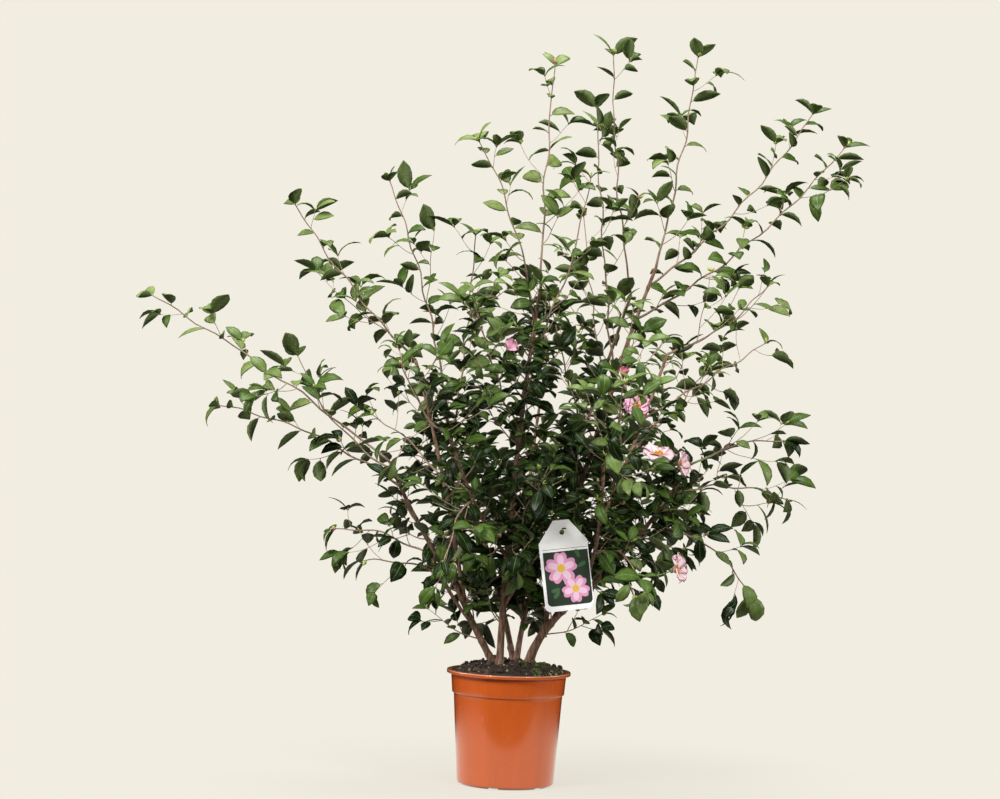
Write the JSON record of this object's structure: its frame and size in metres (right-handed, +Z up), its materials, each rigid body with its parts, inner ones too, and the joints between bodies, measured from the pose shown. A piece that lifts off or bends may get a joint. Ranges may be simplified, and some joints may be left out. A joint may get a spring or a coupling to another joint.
{
  "type": "potted camellia shrub",
  "caption": "Many-stemmed evergreen shrub with long thin leafy shoots and a few pink blooms, in a round nursery pot with a hang label.",
  "frame": {"origin": "centre of the flat underside of the pot", "axes": "+Z up, -Y towards the side that the hang label faces, +X to the right as seen from there"},
  "size_m": [1.2869, 1.1652, 1.39],
  "materials": {
    "pot": "smooth terracotta-orange plastic with a soft gloss",
    "soil": "moist dark compost, lumpy and matt",
    "bark": "thin brown-grey bark, redder on young wood",
    "foliage": "glossy deep green leaves on thin twigs",
    "label": "thin white plastic card"
  },
  "bodies": {
    "root": {"pot": "pot", "soil": "soil", "stem_centre": "bark", "stem_left": "bark", "stem_mid": "bark", "stem_rear": "bark", "stem_right": "bark", "bough_back": "bark", "bough_back_left": "bark", "bough_back_right": "bark", "bough_far_left": "bark", "bough_front_left": "bark", "bough_front_right": "bark", "bough_left": "bark", "bough_low_left": "bark", "bough_low_right": "bark", "bough_rear_left": "bark", "bough_right": "bark", "bough_tall_right": "bark", "bough_top": "bark", "bough_upright": "bark", "label_twig": "bark", "label": "label", "foliage_back": "foliage", "foliage_back_high": "foliage", "foliage_back_left": "foliage", "foliage_back_low": "foliage", "foliage_back_right": "foliage", "foliage_bottom_right": "foliage", "foliage_core_front": "foliage", "foliage_core_high": "foliage", "foliage_core_right": "foliage", "foliage_crown_left": "foliage", "foliage_droop_right": "foliage", "foliage_far_left": "foliage", "foliage_far_right": "foliage", "foliage_front_centre": "foliage", "foliage_front_high": "foliage", "foliage_front_left": "foliage", "foliage_front_low": "foliage", "foliage_front_right": "foliage", "foliage_inner_upright": "foliage", "foliage_left_mid": "foliage", "foliage_left_spur": "foliage", "foliage_low_front": "foliage", "foliage_low_left": "foliage", "foliage_low_side": "foliage", "foliage_right_high": "foliage", "foliage_right_low": "foliage", "foliage_right_mid": "foliage", "foliage_right_rear": "foliage", "foliage_right_tip": "foliage", "foliage_slant_left": "foliage", "foliage_tall_centre": "foliage", "foliage_tall_left": "foliage", "foliage_tall_right": "foliage", "foliage_top_shoot": "foliage", "foliage_upper_left": "foliage", "foliage_upper_right": "foliage", "foliage_upright_mid": "foliage"}
  },
  "joints": []
}
